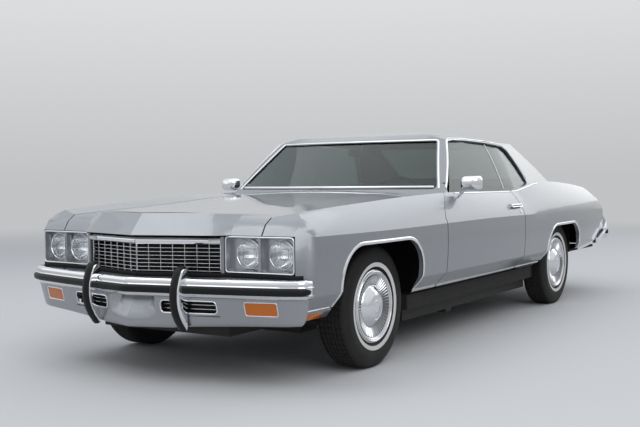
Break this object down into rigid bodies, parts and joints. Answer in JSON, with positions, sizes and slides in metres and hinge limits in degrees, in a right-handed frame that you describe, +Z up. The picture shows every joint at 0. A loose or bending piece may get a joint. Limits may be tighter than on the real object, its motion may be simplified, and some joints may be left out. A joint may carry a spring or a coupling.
{
  "type": "two-door hardtop car",
  "caption": "Full-size two-door hardtop coupe with opening doors, hood and trunk lid, steered front wheels and rolling wheels on a perimeter frame.",
  "frame": {"origin": "on the ground under the centre of the car's overall box", "axes": "+Y towards the tail, +X towards the car's left side, +Z up"},
  "size_m": [2.14, 5.64, 1.428],
  "materials": {
    "body_paint": "silver-blue metallic, gloss",
    "window_glass": "tinted, clear",
    "bright_chrome": "polished",
    "wheel_cover": "bright, radially fluted",
    "tyre_rubber": "matt black with a narrow white band",
    "bumper_rubber": "satin black",
    "lamp_glass": "clear fluted lens",
    "amber_lens": "amber lens",
    "red_lens": "red lens",
    "black_steel": "satin black",
    "engine_paint": "painted casting",
    "exhaust_steel": "dull",
    "tank_steel": "dull",
    "floor_paint": "dark underseal and carpet side",
    "grille_black": "flat black",
    "dash_plastic": "black grained",
    "wheel_plastic": "black",
    "seat_vinyl": "black vinyl"
  },
  "bodies": {
    "root": {"roof": "body_paint", "quarter_panel_left": "body_paint", "quarter_panel_right": "body_paint", "front_fender_left": "body_paint", "front_fender_right": "body_paint", "cowl": "body_paint", "rear_deck": "body_paint", "tail_panel": "body_paint", "floor_pan": "floor_paint", "chassis_frame": "black_steel", "quarter_glass": "window_glass", "windshield": "window_glass", "backlight": "window_glass", "engine": "engine_paint", "driveline": "black_steel", "rear_axle": "black_steel", "exhaust": "exhaust_steel", "fuel_tank": "tank_steel", "front_suspension": "black_steel", "radiator_support": "grille_black", "nose_panel": "body_paint", "headlamps": "lamp_glass", "lamp_bezels": "bright_chrome", "grille": "bright_chrome", "front_bumper": "bright_chrome", "turn_signals": "amber_lens", "front_strip": "bumper_rubber", "bumper_guards": "bumper_rubber", "rear_bumper": "bright_chrome", "tail_lamps": "red_lens", "rear_strip": "bumper_rubber", "dashboard": "dash_plastic", "steering_column": "dash_plastic", "front_bench": "seat_vinyl", "rear_bench": "seat_vinyl"},
    "door_left": {"door_left": "body_paint", "door_glass_left": "window_glass", "mirror_left": "bright_chrome", "door_handle_left": "bright_chrome"},
    "door_right": {"door_right": "body_paint", "door_glass_right": "window_glass", "mirror_right": "bright_chrome", "door_handle_right": "bright_chrome"},
    "hood": {"hood": "body_paint"},
    "trunk_lid": {"trunk_lid": "body_paint"},
    "knuckle_left": {"knuckle_left": "black_steel"},
    "knuckle_right": {"knuckle_right": "black_steel"},
    "steering_wheel": {"steering_wheel": "wheel_plastic"},
    "wheel_front_left": {"wheel_front_left": "wheel_cover", "tyre_front_left": "tyre_rubber"},
    "wheel_front_right": {"wheel_front_right": "wheel_cover", "tyre_front_right": "tyre_rubber"},
    "wheel_rear_left": {"wheel_rear_left": "wheel_cover", "tyre_rear_left": "tyre_rubber"},
    "wheel_rear_right": {"wheel_rear_right": "wheel_cover", "tyre_rear_right": "tyre_rubber"}
  },
  "joints": [
    {"name": "door_left_swing", "type": "hinge", "parent": "root", "child": "door_left", "pos_m": [1.016, -0.988, 0.66], "axis": [0, 0, -1], "range_deg": [0, 62]},
    {"name": "door_right_swing", "type": "hinge", "parent": "root", "child": "door_right", "pos_m": [-1.016, -0.988, 0.66], "axis": [0, 0, 1], "range_deg": [0, 62]},
    {"name": "hood_lift", "type": "hinge", "parent": "root", "child": "hood", "pos_m": [0, -1.001, 0.992], "axis": [-1, 0, 0], "range_deg": [0, 48]},
    {"name": "trunk_lift", "type": "hinge", "parent": "root", "child": "trunk_lid", "pos_m": [0, 1.896, 1.022], "axis": [1, 0, 0], "range_deg": [0, 70]},
    {"name": "steer_left", "type": "hinge", "parent": "root", "child": "knuckle_left", "pos_m": [0.7, -1.74, 0.35], "axis": [0, 0, 1], "range_deg": [-32, 32]},
    {"name": "steer_right", "type": "hinge", "parent": "root", "child": "knuckle_right", "pos_m": [-0.7, -1.74, 0.35], "axis": [0, 0, 1], "range_deg": [-32, 32]},
    {"name": "steering_wheel_turn", "type": "hinge", "parent": "root", "child": "steering_wheel", "pos_m": [0.4, -0.41, 0.908], "axis": [0, 0.9063, 0.4226], "range_deg": [-512, 512]},
    {"name": "spin_front_left", "type": "hinge", "parent": "knuckle_left", "child": "wheel_front_left", "pos_m": [0.81, -1.74, 0.35], "axis": [1, 0, 0], "continuous": true},
    {"name": "spin_front_right", "type": "hinge", "parent": "knuckle_right", "child": "wheel_front_right", "pos_m": [-0.81, -1.74, 0.35], "axis": [1, 0, 0], "continuous": true},
    {"name": "spin_rear_left", "type": "hinge", "parent": "root", "child": "wheel_rear_left", "pos_m": [0.81, 1.41, 0.35], "axis": [1, 0, 0], "continuous": true},
    {"name": "spin_rear_right", "type": "hinge", "parent": "root", "child": "wheel_rear_right", "pos_m": [-0.81, 1.41, 0.35], "axis": [1, 0, 0], "continuous": true}
  ],
  "couplings": [
    {"joint": "steer_right", "follows": "steer_left", "ratio": 1},
    {"joint": "steering_wheel_turn", "follows": "steer_left", "ratio": 16}
  ]
}
